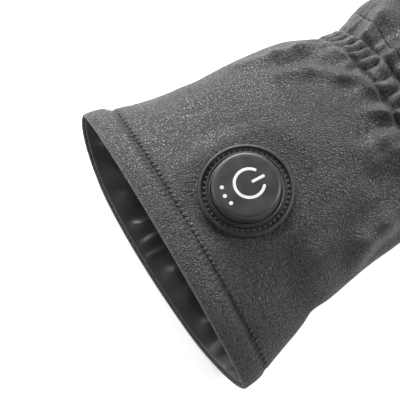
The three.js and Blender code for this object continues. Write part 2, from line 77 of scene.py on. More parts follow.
PLEAT_REACH_HAND = 15.0
PLEAT_REACH_CUFF = 7.0
SWELL_LENGTH, SWELL_HEIGHT = 17.0, 0.5
RIPPLE_LENGTH, RIPPLE_HEIGHT = 7.5, 0.14
FLOOR_GAP = 0.02

# at is the share of the length from the wrist, left and right are shares of the spread, top and fold are
# shares of the lying height, and point is how sharply the two layers meet.
CUFF_ROWS = {
    "at": (0, 0.04, 0.1, 0.2, 0.36, 0.55, 0.63, 0.68, 0.81, 0.89, 0.93, 1),
    "left": (0, 0.04, 0.149, 0.335, 0.434, 0.478, 0.52, 0.549, 0.666, 0.8, 0.91, 1),
    "right": (0, 0.005, 0.023, 0.103, 0.21, 0.368, 0.395, 0.5, 0.748, 0.89, 0.95, 1),
    "top": (0.98, 0.985, 1.01, 1.04, 1.05, 1.02, 1, 1, 1.01, 1, 1, 1),
    "fold": (0.48, 0.48, 0.48, 0.48, 0.48, 0.46, 0.45, 0.44, 0.42, 0.4, 0.39, 0.38),
    "point": (0.95, 0.96, 0.98, 1, 1.08, 1.18, 1.22, 1.25, 1.32, 1.36, 1.38, 1.42),
}
PALM_ROWS = {
    "at": (0, 0.07, 0.13, 0.2, 0.4, 0.6, 0.8, 1),
    "left": (0, 0.19, 0.5, 0.68, 1, 1.06, 0.95, 0.78),
    "right": (0, 0.06, 0.2, 0.33, 0.72, 0.99, 1.05, 0.8),
    "top": (0.98, 1, 1.01, 1, 0.93, 0.84, 0.73, 0.62),
    "fold": (0.48, 0.48, 0.48, 0.48, 0.46, 0.42, 0.36, 0.31),
    "point": (0.95, 0.95, 0.94, 0.93, 0.92, 0.9, 0.88, 0.88),
}

# Folds of the back: start x and y, end x and y, half width and height, in millimetres.
FOLDS = (
    (-59.8, -97.9, -46.3, -83.0, 8.4, 1.0),
    (-53.4, -72.0, -44.2, -48.0, 9.6, 0.8),
    (-51.5, -43.5, -46.7, -29.0, 3.0, 1.4),
    (-46.7, -29.0, -44.3, -18.3, 2.8, 2.0),
    (-44.3, -18.3, -44.8, -13.0, 2.8, 1.6),
    (-40.8, -30.0, -38.6, -22.0, 2.8, -1.3),
    (-40.0, -18.9, -31.0, -11.6, 3.2, -1.5),
    (-40.9, -7.2, -31.5, -3.0, 3.4, 1.9),
    (-31.5, -3.0, -21.3, 0.4, 3.2, 1.4),
    (-37.6, -33.4, -31.9, -22.3, 3.4, 1.4),
    (-31.9, -22.3, -23.1, -11.6, 3.0, 1.7),
    (-23.1, -11.6, -14.0, 0.0, 2.8, 1.5),
    (-19.5, -15.2, -13.0, -5.0, 3.2, -0.5),
    (-13.8, -4.6, -8.5, 0.0, 3.4, 1.8),
    (-4.4, -6.9, -6.8, 1.5, 2.3, -1.5),
    (-2.6, -7.2, 1.7, -1.1, 3.2, 1.8),
    (5.5, -19.0, 3.6, -9.0, 4.0, -1.8),
    (3.6, -7.2, 7.2, -0.4, 3.0, -1.1),
    (8.7, -21.7, 11.5, -19.8, 5.6, 1.8),
    (11.4, -9.9, 16.8, -4.1, 4.7, 2.2),
    (24.0, -22.0, 27.0, -4.0, 4.5, -1.5),
    (14.2, -33.5, 35.9, -43.4, 7.2, -0.6),
    (29.2, -65.9, 49.2, -77.0, 7.2, -1.0),
    (39.7, -57.5, 43.0, -59.0, 7.2, 1.2),
    (48.0, -43.4, 42.4, -37.3, 4.3, 2.4),
    (42.4, -37.3, 39.9, -26.3, 4.0, 3.0),
    (39.9, -26.3, 36.5, -9.0, 4.0, 2.6),
    (51.0, -38.0, 47.5, -18.0, 4.3, -2.0),
    (54.5, -69.0, 50.0, -73.0, 6.0, -1.6),
    (51.5, -46.0, 47.0, -49.5, 5.0, -1.2),
    (-35.5, 9.1, -39.4, 19.0, 3.4, 2.4),
    (-39.4, 19.0, -46.5, 29.4, 4.0, 2.4),
    (-42.2, 6.1, -48.9, 16.0, 2.9, -1.5),
    (-27.0, 9.0, -31.0, 27.0, 3.4, -1.4),
    (-20.0, 9.0, -24.0, 31.0, 3.6, 2.0),
    (-9.0, 9.0, -11.0, 24.0, 3.2, -1.2),
    (-1.0, 9.0, -2.0, 33.0, 3.9, 1.8),
    (11.0, 9.0, 13.0, 23.0, 3.2, -1.2),
    (19.0, 9.0, 22.0, 30.0, 3.6, 1.9),
    (33.0, 9.0, 38.0, 25.0, 3.6, 1.9),
)


def along(rows, column, at):
    """Smooth values of one column of a table of sections."""
    ats, values = np.array(rows["at"], float), np.array(rows[column], float)
    at = np.clip(at, ats[0], ats[-1])
    k = np.clip(np.searchsorted(ats, at, side="right") - 1, 0, len(ats) - 2)
    before, after = np.maximum(k - 1, 0), np.minimum(k + 2, len(ats) - 1)
    span = ats[k + 1] - ats[k]
    leave = (values[k + 1] - values[before]) / (ats[k + 1] - ats[before]) * span
    arrive = (values[after] - values[k]) / (ats[after] - ats[k]) * span
    t = (at - ats[k]) / span
    rise = t * t * (3 - 2 * t)
    level = values[k] * (1 - rise) + values[k + 1] * rise
    return level + t * (1 - t) ** 2 * leave + t * t * (t - 1) * arrive


def section(y):
    """The oval that the glove's skin follows at y: its middle, half widths, heights and sharpness."""
    cuff = y < 0
    at = np.where(cuff, -y / CUFF_LENGTH, y / PALM_LENGTH)
    spread = np.where(cuff, CUFF_WIDTH - WRIST_WIDTH, PALM_WIDTH - WRIST_WIDTH) / 2
    pick = {}
    for name in ("left", "right", "top", "fold", "point"):
        pick[name] = np.where(cuff, along(CUFF_ROWS, name, at), along(PALM_ROWS, name, at))
    return {
        "mid": -WRIST_LEAN * np.maximum(0, 1 - at),
        "left": WRIST_WIDTH / 2 + spread * pick["left"],
        "right": WRIST_WIDTH / 2 + spread * pick["right"],
        "top": LYING_HEIGHT * pick["top"],
        "fold": LYING_HEIGHT * pick["fold"],
        "point": pick["point"],
    }


def plain(turn, y):
    """Points of the sleeve without folds: turn 0 at the +X side, 0.25 on the back and 0.75 underneath."""
    s = section(y)
    c, n = np.cos(2 * np.pi * turn), np.sin(2 * np.pi * turn)
    lift = np.abs(n) ** s["point"]
    x = s["mid"] + np.where(c > 0, s["right"], s["left"]) * c
    down = s["fold"] * soft_min(FLOOR_PRESS * lift)
    return np.stack([x, y, s["fold"] + np.where(n >= 0, (s["top"] - s["fold"]) * lift, -down)], -1)


def soft_min(value, limit=1.0, ease=0.12):
    """The lower of value and limit, rounded where they cross."""
    gap = np.maximum(ease - np.abs(value - limit), 0) / ease
    return np.minimum(value, limit) - gap * gap * ease / 4


def smooth(value, low, high):
    """0 below low and 1 above high, with an eased step between them."""
    t = np.clip((value - low) / (high - low), 0, 1)
    return t * t * (3 - 2 * t)


def bell(value, width):
    """A round bump of height 1, down to about a third at width."""
    return np.exp(-((value / width) ** 2))


def unevenness(points, scale, seed):
    """Slow random relief from -1 to 1, one value a point."""
    shift = Vector((seed * 7.3, seed * 3.1, seed * 5.7))
    return np.array([noise.noise(Vector(p) / scale + shift) for p in points])


def edge_y(turn):
    """The edge of the opening, which bows out on the back and further on the palm side."""
    c, n = np.cos(2 * np.pi * turn), np.sin(2 * np.pi * turn)
    high = np.abs(n)
    back = BACK_EDGE_BOW * high * high
    palm = PALM_EDGE_BOW * high**PALM_EDGE_POWER * (1 - PALM_EDGE_LEAN * c)
    return -CUFF_LENGTH - np.where(n >= 0, back, palm) - EDGE_SKEW * c


def fold_height(x, y):
    """Relief of the folds, each a rounded ridge or valley between its two ends."""
    height = np.zeros_like(x)
    for ax, ay, bx, by, wide, high in FOLDS:
        dx, dy = bx - ax, by - ay
        t = np.clip(((x - ax) * dx + (y - ay) * dy) / (dx * dx + dy * dy), 0, 1)
        height += high * bell(np.hypot(x - ax - t * dx, y - ay - t * dy), wide)
    return height


def elastic_y(turn):
    """The middle of the elastic, which the cuff draws towards itself at the sides."""
    return ELASTIC_Y - ELASTIC_BOW * np.cos(2 * np.pi * turn) ** 2


def gather_height(turn, y):
    """Puckers on the elastic, with pleats that run out of them on both sides and merge as they go."""
    share = np.clip(2 * turn, 0, 1)
    wander = np.sin(2 * np.pi * turn * 5.3 + 1.1) + 0.6 * np.sin(2 * np.pi * turn * 11.7)
    phase = GATHERS * (share + GATHER_WANDER * wander)
    off = y - elastic_y(turn)
    middle = np.clip(1 - (np.abs(off) / (ELASTIC_WIDTH / 2)) ** 2.6, 0, 1) ** 0.5
    on_elastic = PUCKER_HEIGHT * (np.abs(np.sin(np.pi * phase)) ** PUCKER_POWER - PUCKER_LEVEL) * middle
    past = np.maximum(np.abs(off) - ELASTIC_WIDTH / 2, 0)
    pleat = np.cos(2 * np.pi * (0.5 * phase + 0.25 * wander)) + 0.7 * np.cos(2 * np.pi * phase + 1.0)
    fade = np.exp(-past / np.where(off > 0, PLEAT_REACH_HAND, PLEAT_REACH_CUFF))
    outside = np.where(off > 0, PLEAT_HEIGHT_HAND, PLEAT_HEIGHT_CUFF) * pleat * fade * smooth(past, 0, 3)
    stitch = -ELASTIC_STITCH_DIP * bell(np.abs(off) - ELASTIC_WIDTH / 2 - 0.4, 1.1)
    side = np.sqrt(np.clip(np.sin(np.pi * share), 0, 1))
    return side * (on_elastic + outside + stitch)


def hem_height(distance):
    """The swell of the turned hem, and the valley that its stitches pull at its end."""
    across = np.clip(distance / HEM_WIDTH, 0, 1)
    return HEM_SWELL * np.sin(np.pi * across) ** 0.7 - STITCH_DIP * bell(distance - HEM_WIDTH, 1.3)


# The flat seat that the button presses into the leather.
SEAT = np.array((3.0, -71.8, 43.0))
SEAT_SLOPE = np.array((0.0361, -0.0096))
SEAT_RADIUS = 21.0
SEAT_BORDER = 11


def seat_share(x, y):
    """1 on the seat, easing to 0 over its border."""
    return 1 - smooth(np.hypot(x - SEAT[0], y - SEAT[1]), SEAT_RADIUS, SEAT_RADIUS + SEAT_BORDER)


def leather(turn, nominal, y, inset, relief):
    """Points of the folded leather. inset draws them in through its thickness."""
    base = plain(turn, nominal)
    base[:, 1] = y
    chord = plain(turn + 0.002, nominal) - plain(turn - 0.002, nominal)
    out = np.stack([chord[:, 2], np.zeros_like(y), -chord[:, 0]], -1)
    out /= np.linalg.norm(out, axis=1)[:, None]
    n = np.sin(2 * np.pi * turn)
    seated = seat_share(base[:, 0], y) * (n > 0)
    lift = (smooth(n, 0, SIDE_SHARE) * fold_height(base[:, 0], y) + relief) * (1 - seated) - inset
    point = base + out * lift[:, None]
    plane = SEAT[2] - SEAT_SLOPE[0] * (base[:, 0] - SEAT[0]) - SEAT_SLOPE[1] * (y - SEAT[1])
    point[:, 2] += (plane - base[:, 2]) * seated
    point[:, 2] = np.maximum(point[:, 2], FLOOR_GAP + inset)
    return point


def skin(turn, y, inset=0.0):
    """The sleeve's leather at a turn and a y, with all its relief."""
    distance = y - edge_y(turn)
    nominal = -CUFF_LENGTH + distance * (SLEEVE_END + CUFF_LENGTH) / (SLEEVE_END - edge_y(turn))
    base = plain(turn, nominal)
    n = np.sin(2 * np.pi * turn)
    off_floor = smooth(base[:, 2], 0.3, 5)
    relief = np.where(n > 0, gather_height(turn, y), 0)
    relief += hem_height(distance) * off_floor * (0.35 + 0.65 * np.sqrt(np.clip(n, 0, 1)))
    slow = unevenness(base, SWELL_LENGTH, 1) * SWELL_HEIGHT
    slow += unevenness(base, RIPPLE_LENGTH, 2) * RIPPLE_HEIGHT
    relief += slow * off_floor * np.clip(distance / 12, 0.3, 1) * (1 - bell(distance - HEM_WIDTH, 3.0))
    relief -= JOIN_DIP * bell(y - SLEEVE_END, JOIN_WIDTH)
    through = inset / LEATHER
    relief *= 1 - 0.5 * through * (1 - np.clip(distance / 30, 0, 1))
    return leather(turn, nominal, y, inset, relief)


def rounded_wall(outer, inner_rows, thickness, end_rows=8, squareness=0.35):
    """Rows of a wall's outline, from the far edge along the outside to the near edge and back inside it.

    Each mark of outer is (rows up to it, share of the length, millimetres past that share). The result
    holds share, millimetres and depth into the wall for each row.
    """
    radius = thickness / 2
    share, offset, depth = [outer[0][1]], [outer[0][2]], [0.0]
    for (_, share_a, offset_a), (rows, share_b, offset_b) in zip(outer, outer[1:]):
        for k in range(1, rows + 1):
            share.append(share_a + (share_b - share_a) * k / rows)
            offset.append(offset_a + (offset_b - offset_a) * k / rows)
            depth.append(0.0)
    near, far = outer[-1], outer[0]
    for k in range(1, end_rows + 1):
        angle = math.pi * k / end_rows
        share.append(near[1])
        offset.append(near[2] - radius * math.sin(angle))
        depth.append(radius - radius * math.cos(angle))
    for k in range(1, inner_rows + 1):
        share.append(near[1] + (far[1] - near[1]) * k / inner_rows)
        offset.append(near[2] + (far[2] - near[2]) * k / inner_rows)
        depth.append(thickness)
    for k in range(1, end_rows + 1):
        angle = math.pi * k / end_rows
        share.append(far[1])
        offset.append(far[2] + radius * math.sin(angle) ** squareness)
        depth.append(radius + radius * math.cos(angle))
    return np.array([share, offset, depth])


def grid_piece(name, columns, rows, place, uv_of=None):
    """A grid bent into its shape and welded where its sides meet. place gives a point for each u, v."""
    bm = bmesh.new()
    bmesh.ops.create_grid(bm, x_segments=columns, y_segments=rows, size=0.5, calc_uvs=False)
    u = np.array([v.co.x + 0.5 for v in bm.verts])
    v = np.array([v.co.y + 0.5 for v in bm.verts])
    marks = np.stack([u, v], -1) if uv_of is None else uv_of(u, v)
    layer = bm.loops.layers.uv.new("UVMap")
    for face in bm.faces:
        for loop in face.loops:
            loop[layer].uv = marks[loop.vert.index]
    for vert, point in zip(bm.verts, place(u, v) * MM):
        vert.co = point
    bmesh.ops.remove_doubles(bm, verts=bm.verts, dist=0.002 * MM)
    bmesh.ops.recalc_face_normals(bm, faces=bm.faces)
    return finish_mesh(name, bm)


def finish_mesh(name, bm):
    """A smooth-shaded object in the scene, made from bm, which is then freed."""
    for face in bm.faces:
        face.smooth = True
    mesh = bpy.data.meshes.new(name)
    bm.to_mesh(mesh)
    bm.free()
    piece = bpy.data.objects.new(name, mesh)
    bpy.context.scene.collection.objects.link(piece)
    return piece


class Wire:
    """A shader socket whose arithmetic adds Math nodes."""

    def __init__(self, finish, socket):
        self.finish, self.socket = finish, socket

    def __add__(self, other):
        return self.finish.math("ADD", self, other)

    __radd__ = __add__

    def __sub__(self, other):
        return self.finish.math("SUBTRACT", self, other)

    def __rsub__(self, other):
        return self.finish.math("SUBTRACT", other, self)

    def __mul__(self, other):
        return self.finish.math("MULTIPLY", self, other)

    __rmul__ = __mul__

    def ramp(self, low, high, to_low=0.0, to_high=1.0):
        values = [self, low, high, to_low, to_high]
        return self.finish.node("ShaderNodeMapRange", {"interpolation_type": "SMOOTHSTEP"}, values)[0]


class Finish:
    """One material, built on a Principled shader."""

    def __init__(self, name, **constants):
        self.material = bpy.data.materials.new(name)
        self.material.use_nodes = True
        self.tree = self.material.node_tree
        self.shader = self.tree.nodes["Principled BSDF"]
        self.set(**constants)

    def node(self, kind, settings=None, values=None):
        """A node with its settings and the values or wires of its sockets. Gives its outputs."""
        made = self.tree.nodes.new(kind)
        for key, value in (settings or {}).items():
            setattr(made, key, value)
        pairs = values.items() if isinstance(values, dict) else enumerate(values or [])
        for key, value in pairs:
            self.feed(made.inputs[key], value)
        return [Wire(self, socket) for socket in made.outputs]

    def math(self, operation, *values):
        return self.node("ShaderNodeMath", {"operation": operation}, values)[0]

    def feed(self, socket, value):
        if isinstance(value, Wire):
            self.tree.links.new(value.socket, socket)
        else:
            socket.default_value = value

    def set(self, **inputs):
        for key, value in inputs.items():
            self.feed(self.shader.inputs[key.replace("_", " ").title()], value)

    def place(self):
        """Object coordinates."""
        return self.node("ShaderNodeTexCoord")[3]

    def uv(self):
        """The two ways of the UV map, each by itself."""
        return self.node("ShaderNodeSeparateXYZ", None, [self.node("ShaderNodeTexCoord")[2]])[:2]

    def noise(self, vector, scale, detail=3.0, rough=0.5):
        values = {"Vector": vector, "Scale": scale, "Detail": detail, "Roughness": rough}
        return self.node("ShaderNodeTexNoise", None, values)[0]

    def cells(self, vector, scale):
        settings = {"feature": "DISTANCE_TO_EDGE"}
        return self.node("ShaderNodeTexVoronoi", settings, {"Vector": vector, "Scale": scale})[0]

    def warp(self, vector, scale, amount):
        """vector pushed about by noise, so that a pattern on it isn't regular."""
        values = {"Vector": vector, "Scale": scale, "Detail": 2.0}
        push = self.node("ShaderNodeTexNoise", None, values)[1]
        push = self.vector_math("SUBTRACT", [push, (0.5, 0.5, 0.5)])
        push = self.vector_math("SCALE", {"Vector": push, "Scale": amount})
        return self.vector_math("ADD", [vector, push])

    def vector_math(self, operation, values):
        return self.node("ShaderNodeVectorMath", {"operation": operation}, values)[0]

    def mix(self, share, first, second):
        """A colour between two. A Mix node takes colours at its sockets 6 and 7."""
        values = {0: share, 6: first, 7: second}
        return self.node("ShaderNodeMix", {"data_type": "RGBA"}, values)[2]

    def bump(self, height, distance):
        self.set(normal=self.node("ShaderNodeBump", None, {"Distance": distance, "Height": height})[0])


# The thread's pull on the leather beside the hem's row and the depth of its needle holes, in heights of the
# grain, how much painted shade darkens the holes and the row's valley, and the width of the painted
# highlight along the edge.
STITCH_PULL = 1.8
HOLE_DEPTH = 4.0
HOLE_SHADE = 0.95
VALLEY_SHADE = 0.5
EDGE_HIGHLIGHT_WIDTH = 1.3

# Between these distances from the edge, the gathers draw the grain flat, down to this share of its height.
GRAIN_FADE = (100.0, 108.0)
GATHERED_GRAIN = 0.35


def leather_finish(name, dark, light, grain, depth, gloss, stitched=False):
    """Pebbled leather: small rounded cells between fine creases, with a dull sheen that varies."""
    finish = Finish(name, sheen_weight=0.1, sheen_roughness=0.5)
    place = finish.place()
    bent = finish.warp(place, grain * 0.5, 1.1 / grain)
    tops = finish.cells(bent, grain).ramp(0.0, 0.26)
    rolls = finish.noise(finish.warp(place, 160, 0.003), grain * 0.8, 1.5, 0.5)
    slow = finish.noise(place, 28, 3)
    height = tops + rolls * 0.9
    # The base colour is painted darker in the grain's creases and lighter on the cells' tops, a painted
    # shade, over a slow random tone of the hide.
    shade = tops * 0.8 + slow * 0.4 - 0.15
    if stitched:
        along_row, from_edge = finish.uv()
        off_row = finish.math("ABSOLUTE", from_edge - HEM_WIDTH)
        wave = finish.math("COSINE", along_row * (2 * math.pi))
        near = off_row.ramp(0.3, 3.0, 1.0, 0.0)
        height = height * from_edge.ramp(*GRAIN_FADE, 1.0, GATHERED_GRAIN)
        height = height + wave * near * STITCH_PULL
        # The needle holes and the row's valley are painted darker, a painted shade where they sink.
        hole = wave.ramp(0.0, 0.6) * off_row.ramp(0.7, 1.3, 1.0, 0.0)
        valley = off_row.ramp(0.4, 2.0, 1.0, 0.0)
        height = height - hole * HOLE_DEPTH
        # The pale line along the turned edge is a painted highlight, where the edge catches the light.
        edge_highlight = from_edge.ramp(0.0, EDGE_HIGHLIGHT_WIDTH, 1.3, 0.0)
        shade = shade * (1 - hole * HOLE_SHADE) * (1 - valley * VALLEY_SHADE) + edge_highlight
    finish.bump(height, depth)
    finish.set(base_color=finish.mix(shade.ramp(0.0, 1.0), (*dark, 1), (*light, 1)))
    finish.set(roughness=slow.ramp(0.3, 0.7, gloss[0], gloss[1]) + (1 - tops) * 0.15)
    return finish.material


COWHIDE = {
    "dark": (0.002, 0.002, 0.0022),
    "light": (0.046, 0.046, 0.0485),
    "grain": 900,
    "depth": 0.0004,
    "gloss": (0.42, 0.5),
}
hide = leather_finish("pebbled_hide", **COWHIDE, stitched=True)


def run_along(line):
    """The distance covered at each point of a line."""
    return np.concatenate([[0], np.cumsum(np.linalg.norm(np.diff(line, axis=0), axis=1))])


# The hem's stitch line, walked once round the cuff to space its stitches evenly.
STITCH_PITCH = 2.4
fine_turns = np.linspace(0, 1, 2401)
hem_run = run_along(skin(fine_turns, edge_y(fine_turns) + HEM_WIDTH))
HEM_STITCHES = round(hem_run[-1] / STITCH_PITCH)
hem_run *= HEM_STITCHES / hem_run[-1]

# The rows are closest in the gathers and the hem.
SLEEVE_MARKS = ((0, 1, -LEATHER / 2), (40, 1, -24), (60, 0, 16), (30, 0, LEATHER / 2))
SLEEVE_COLUMNS = 440
sleeve_wall = rounded_wall(SLEEVE_MARKS, inner_rows=50, thickness=LEATHER)


def row_of(wall, v):
    """Share, millimetres and depth of a rounded wall at v of the way along its rows."""
    rows = np.linspace(0, 1, wall.shape[1])
    return [np.interp(v, rows, values) for values in wall]


def sleeve_points(u, v):
    share, offset, depth = row_of(sleeve_wall, v)
    edge = edge_y(u)
    return skin(u, edge + share * (SLEEVE_END - edge) + offset, depth)


def sleeve_marks(u, v):
    """A UV map in stitches along the hem and millimetres from the edge."""
    share, offset, depth = row_of(sleeve_wall, v)
    distance = share * (SLEEVE_END - edge_y(u)) + offset
    return np.stack([np.interp(u, fine_turns, hem_run), np.where(depth > 0.2, 0, distance)], -1)


sleeve = grid_piece("cuff_leather", SLEEVE_COLUMNS, sleeve_wall.shape[1] - 1, sleeve_points, sleeve_marks)
sleeve.data.materials.append(hide)
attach(sleeve, "glove")
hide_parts("cuff", "wrist_band")

# The stitches: black bonded thread, one row round the hem and one on each side of the elastic. The hem's
# are pulled down into the leather, so that only the middle of each stitch stands proud.
STITCH_LENGTH = 1.9
THREAD_WIDTH = 0.55
HEM_STITCH_SINK = 0.1
ELASTIC_PITCH = 2.6
ELASTIC_REACH = (0.02, 0.48)
STITCHES_AT_A_TIME = 30

thread = Finish("black_thread", roughness=0.6, sheen_weight=0.3)
twist = thread.noise(thread.place(), 5200, 2)
thread.set(base_color=thread.mix(twist, (0.006, 0.006, 0.0065, 1), (0.03, 0.03, 0.032, 1)))
thread.bump(twist, 0.00006)


def stitch_row(name, surface, turns, ys, long, wide, sink):
    """One small rounded stitch at each turn and y of a surface, lying along the row."""
    turn_step, y_step = 0.0006, 0.2
    ahead = surface(turns + turn_step, ys) - surface(turns - turn_step, ys)
    inward = surface(turns, ys + y_step) - surface(turns, ys - y_step)
    return sewn(name, surface(turns, ys), ahead, np.cross(inward, ahead), long, wide, sink)


def sewn(name, points, runs, outs, long, wide, sink):
    """One stitch at each point, lying along its run and sunk against its outward direction."""
    row = bmesh.new()
    for first in range(0, len(points), STITCHES_AT_A_TIME):
        few = bmesh.new()
        chosen = points[first : first + STITCHES_AT_A_TIME]
        for point, run, out in zip(chosen, runs[first:], outs[first:]):
            run, out = Vector(run).normalized(), Vector(out).normalized()
            side = out.cross(run)
            shape = Matrix((side * wide / 2, out * wide / 2, run * long / 2)).transposed() * MM
            place = Matrix.Translation((Vector(point) - out * sink) * MM) @ shape.to_4x4()
            bmesh.ops.create_uvsphere(few, u_segments=8, v_segments=6, radius=1, matrix=place)
        bmesh.ops.recalc_face_normals(few, faces=few.faces)
        mesh = bpy.data.meshes.new("few_stitches")
        few.to_mesh(mesh)
        few.free()
        row.from_mesh(mesh)
        bpy.data.meshes.remove(mesh)
    piece = finish_mesh(name, row)
    piece.data.materials.append(thread.material)
    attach(piece, "glove")
    return piece


hem_turns = np.interp(np.arange(HEM_STITCHES) + 0.5, hem_run, fine_turns)
hem_ys = edge_y(hem_turns) + HEM_WIDTH
hem_stitches = stitch_row(
    "hem_stitches", skin, hem_turns, hem_ys, STITCH_LENGTH, THREAD_WIDTH, HEM_STITCH_SINK
)
for row, side in (("near", -1), ("far", 1)):
    across = np.linspace(*ELASTIC_REACH, 1201)
    run = run_along(skin(across, elastic_y(across) + side * ELASTIC_WIDTH / 2))
    spots = np.interp(np.arange(0, run[-1], ELASTIC_PITCH), run, across)
    levels = elastic_y(spots) + side * ELASTIC_WIDTH / 2
    stitch_row(f"elastic_stitches_{row}", skin, spots, levels, STITCH_LENGTH, THREAD_WIDTH, 0.0)

# The facing inside the opening: a strip of soft black lining, a little too wide for the cuff, so that it
# falls in soft folds. It starts just inside the turned edge, and its ends meet in a seam on the palm side.
FACING_DEPTH = 50
FACING_BACKSET = 1.3
FACING = 0.8
FACING_COLUMNS = 360
FACING_GAP = 0.15
FACING_SLACK = 0.3
FACING_DROP = 3.4
FACING_DRIFT = 0.4
FACING_SEAM_TURN = 0.742
FACING_SEAM_HEIGHT = 0.9
FACING_SEAM_WIDTH = 1.1

# Where each fold of the facing falls: turn at the edge, lean a millimetre, half width in turns and height.
FACING_FALLS = (
    (0.04, 0.0001, 0.014, 1.9), (0.1, 0.0002, 0.012, 1.5), (0.165, -0.0002, 0.011, 2.0),
    (0.23, 0.0001, 0.012, 1.4), (0.3, -0.0001, 0.011, 2.0), (0.37, 0.0002, 0.012, 1.5),
    (0.44, 0.0001, 0.013, 1.9), (0.53, 0.0002, 0.012, 1.4), (0.585, -0.0002, 0.01, 1.9),
    (0.633, 0.0002, 0.011, 2.1), (0.672, -0.0001, 0.009, 1.3), (0.706, 0.0002, 0.008, 2.2),
    (0.728, -0.0002, 0.005, 1.9), (0.768, 0.0002, 0.008, 2.0), (0.797, -0.0001, 0.007, 1.5),
    (0.836, 0.0001, 0.01, 2.2), (0.874, -0.0001, 0.009, 1.7), (0.912, 0.0002, 0.01, 2.0),
    (0.958, 0.0001, 0.012, 1.5),
)  # fmt: skip

facing_marks = ((0, 0, FACING_DEPTH), (24, 0, FACING_BACKSET + FACING / 2))
facing_wall = rounded_wall(facing_marks, inner_rows=56, thickness=FACING)


def facing_points(u, v):
    _, distance, depth = row_of(facing_wall, v)
    base = plain(u, -CUFF_LENGTH + distance)
    ring = np.stack([base[:, 0], distance * 0.22, base[:, 2] * 1.5], -1)
    drift = unevenness(ring, 9.0, 4) * 1.6 + unevenness(ring, 22.0, 5) * 1.4
    hung = np.zeros_like(u)
    for turn, lean, wide, high in FACING_FALLS:
        off = (u - turn - lean * distance + 0.5) % 1 - 0.5
        hung += high * bell(off, wide * (1 + 0.3 * np.sin(distance / 9 + 40 * turn)))
    falls = smooth(distance, 0.8, 10) * (1 - 0.4 * smooth(distance, 38, FACING_DEPTH))
    falls *= np.clip(hung + drift * FACING_DRIFT + FACING_SLACK, 0, FACING_DROP)
    from_seam = np.interp(u, fine_turns, hem_run) - np.interp(FACING_SEAM_TURN, fine_turns, hem_run)
    seam = FACING_SEAM_HEIGHT * bell(from_seam * STITCH_PITCH, FACING_SEAM_WIDTH)
    seam *= smooth(distance, 1.5, 4)
    return skin(u, edge_y(u) + distance, LEATHER + FACING_GAP + falls + seam + depth)


facing = grid_piece("cuff_facing", FACING_COLUMNS, facing_wall.shape[1] - 1, facing_points)
satin = Finish("satin_lining", roughness=0.3, sheen_weight=0.4)
cloudy = satin.noise(satin.place(), 60, 3)
grain = satin.noise(satin.place(), 1500, 3)
satin.set(base_color=satin.mix(cloudy, (0.012, 0.012, 0.013, 1), (0.04, 0.04, 0.043, 1)))
satin.set(roughness=cloudy.ramp(0.3, 0.7, 0.28, 0.4))
satin.bump(grain, 0.00008)
facing.data.materials.append(satin.material)
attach(facing, "glove")
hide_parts("cuff_lining")

# The hand: padded leather round the palm, four fingers and the thumb, all lying on the palm side. Its skin
# is formed whole and cut along its seams into the back, the palm, the strips between the fingers and the
# thumb. Each of these gets its wall, as the panels of a lined and padded glove do.
PADDED_WALL = 2.4
FINGER_ARCH = 4
FINGER_ROOT = 22
SOLE_PRESS = 1.12
TIP_LIFT = 0.12
TIP_START = 0.8
THUMB_SEAM_X = -56.5
THUMB_SEAM_LEAN = -4
SEAM_HEIGHT = 22
SEAM_DROP = 0.045
STRIP_WIDTH = 11
STRIP_ROOT = 12
STRIP_TIP = 9
STRIP_TAPER = 16
SEAM_SINK = 1.5
PUFF = 0.9
REMESH = 1.15
SMOOTHINGS = 7
CUT_GAP = 0.04
BLEND_LENGTH = 15
SEAM_PITCH = 2.8
SEAM_THREAD_WIDTH = 0.6
SEAM_STITCH_RISE = 0.05
SEAM_STITCH_FLOOR = 1.5

# x and y of the root in millimetres, lean in degrees, length, width, height, depth and size of the root.
DIGITS = {
    "index": (-40.66, 104, -4, 77.4, 26.0, 25.0, FINGER_ROOT, 1.0),
    "middle": (-13.66, 104, -1, 88.0, 26.0, 25.5, FINGER_ROOT, 1.0),
    "ring": (13.55, 104, 3, 80.1, 25.5, 25.0, FINGER_ROOT, 1.0),
    "little": (39.54, 104, 8, 61.6, 23.4, 22.5, FINGER_ROOT, 1.0),
    "thumb": (-41.44, 28.08, -36, 90.0, 31.0, 28.0, 7, 0.62),
}
LANES = (("index", "middle"), ("middle", "ring"), ("ring", "little"))
TAPER = {"at": (0, 0.3, 0.6, 0.83, 1), "size": (1, 0.99, 0.94, 0.88, 0.84)}

# The creases over each finger's joints: share of its length and depth.
KNUCKLES = ((0.37, 0.6), (0.42, 1.0), (0.47, 0.7), (0.68, 0.8), (0.73, 0.9))
KNUCKLE_WIDTH = 1.7
PALM_CENTRE_HEIGHT = 20.0


def digit_place(name):
    """The shape of a finger or the thumb: a tapered oval tube with a round tip, flat where it lies."""
    x, y, lean, length, width, height, root, root_size = DIGITS[name]
    lean = math.radians(lean)

    def place(u, v):
        share = 1 - (1 - v) ** 1.7
        at = -root / length + (1 + root / length) * share
        size = along(TAPER, "size", at) * np.interp(at, (-root / length, 0), (root_size, 1))
        tip = np.clip((at - TIP_START) / (1 - TIP_START), 0, 1)
        size = size * np.clip(1 - tip**2.6, 0, 1) ** (1 / 2.2) * (v > 1e-5)
        sine = np.sin(2 * np.pi * u)
        across = width / 2 * size * np.cos(2 * np.pi * u)
        up = height / 2 * size * np.where(sine < 0, -soft_min(-SOLE_PRESS * sine), sine)
        middle = height / 2 * (TIP_LIFT + (1 - TIP_LIFT) * size)
        middle += FINGER_ARCH * np.sin(np.pi * np.clip(at, 0, 1))
        run = at * length
        px = x + across * math.cos(lean) + run * math.sin(lean)
        py = y - across * math.sin(lean) + run * math.cos(lean)
        return np.stack([px, py, middle + up], -1)

    return place


